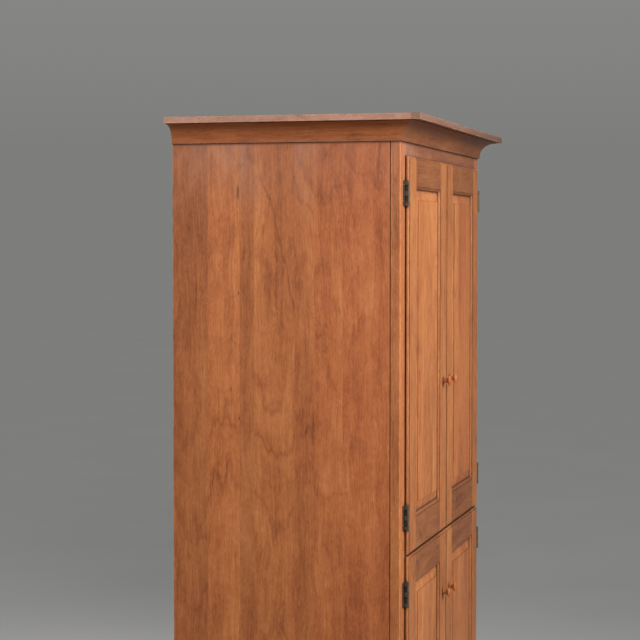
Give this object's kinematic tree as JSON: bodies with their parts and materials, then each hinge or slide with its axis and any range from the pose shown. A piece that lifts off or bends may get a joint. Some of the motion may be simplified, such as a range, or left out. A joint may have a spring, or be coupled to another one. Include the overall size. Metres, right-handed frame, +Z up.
{
  "type": "armoire",
  "caption": "Tall free-standing wooden armoire: coved cornice, upper and lower raised-panel doors on lipped-door hinges, hanging space over shelved storage.",
  "frame": {"origin": "on the floor, under the centre of the cap board's outline", "axes": "+Z up, +X to the right of someone facing the doors, -Y towards that person (the doors face -Y)"},
  "size_m": [1.195, 0.674, 1.844],
  "materials": {
    "side_cherry": "satin",
    "face_frame_cherry": "satin",
    "cornice_cherry": "satin",
    "door_frame_cherry": "satin",
    "door_panel_cherry": "satin",
    "knob_cherry": "satin",
    "back_cherry": "matte",
    "shelf_cherry": "satin",
    "rod_wood": "satin",
    "zinc_plate": "satin",
    "catch_plastic": "matte",
    "antique_bronze": "satin",
    "bronze_screw": "satin"
  },
  "bodies": {
    "case": {"side_left": "side_cherry", "side_right": "side_cherry", "face_stile_left": "face_frame_cherry", "face_stile_right": "face_frame_cherry", "face_rail_top": "face_frame_cherry", "face_rail_middle": "face_frame_cherry", "face_rail_bottom": "face_frame_cherry", "case_top": "shelf_cherry", "middle_shelf": "shelf_cherry", "case_bottom": "shelf_cherry", "back_board_1": "back_cherry", "back_board_2": "back_cherry", "back_board_3": "back_cherry", "back_board_4": "back_cherry", "back_board_5": "back_cherry", "cap_board": "cornice_cherry", "cove_front": "cornice_cherry", "cove_left": "cornice_cherry", "cove_right": "cornice_cherry", "adjustable_shelf": "shelf_cherry", "shelf_pegs": "zinc_plate", "clothes_rod": "rod_wood", "rod_sockets": "zinc_plate", "door_catches": "catch_plastic", "hinge_frame_leaves": "antique_bronze", "hinge_pins": "antique_bronze", "hinge_screws": "bronze_screw"},
    "upper_left_door": {"upper_left_hinge_stile": "door_frame_cherry", "upper_left_lock_stile": "door_frame_cherry", "upper_left_top_rail": "door_frame_cherry", "upper_left_bottom_rail": "door_frame_cherry", "upper_left_panel": "door_panel_cherry", "upper_left_knob": "knob_cherry", "upper_left_hinge_leaves": "antique_bronze", "upper_left_strike": "zinc_plate"},
    "upper_right_door": {"upper_right_hinge_stile": "door_frame_cherry", "upper_right_lock_stile": "door_frame_cherry", "upper_right_top_rail": "door_frame_cherry", "upper_right_bottom_rail": "door_frame_cherry", "upper_right_panel": "door_panel_cherry", "upper_right_knob": "knob_cherry", "upper_right_hinge_leaves": "antique_bronze", "upper_right_strike": "zinc_plate"},
    "lower_left_door": {"lower_left_hinge_stile": "door_frame_cherry", "lower_left_lock_stile": "door_frame_cherry", "lower_left_top_rail": "door_frame_cherry", "lower_left_bottom_rail": "door_frame_cherry", "lower_left_panel": "door_panel_cherry", "lower_left_knob": "knob_cherry", "lower_left_hinge_leaves": "antique_bronze", "lower_left_strike": "zinc_plate"},
    "lower_right_door": {"lower_right_hinge_stile": "door_frame_cherry", "lower_right_lock_stile": "door_frame_cherry", "lower_right_top_rail": "door_frame_cherry", "lower_right_bottom_rail": "door_frame_cherry", "lower_right_panel": "door_panel_cherry", "lower_right_knob": "knob_cherry", "lower_right_hinge_leaves": "antique_bronze", "lower_right_strike": "zinc_plate"}
  },
  "joints": [
    {"name": "upper_left_door_hinge", "type": "hinge", "parent": "case", "child": "upper_left_door", "pos_m": [-0.4851, -0.283, 1.23], "axis": [0, 0, -1], "range_deg": [0, 120]},
    {"name": "upper_right_door_hinge", "type": "hinge", "parent": "case", "child": "upper_right_door", "pos_m": [0.4851, -0.283, 1.23], "axis": [0, 0, 1], "range_deg": [0, 120]},
    {"name": "lower_left_door_hinge", "type": "hinge", "parent": "case", "child": "lower_left_door", "pos_m": [-0.4851, -0.283, 0.413], "axis": [0, 0, -1], "range_deg": [0, 120]},
    {"name": "lower_right_door_hinge", "type": "hinge", "parent": "case", "child": "lower_right_door", "pos_m": [0.4851, -0.283, 0.413], "axis": [0, 0, 1], "range_deg": [0, 120]}
  ]
}
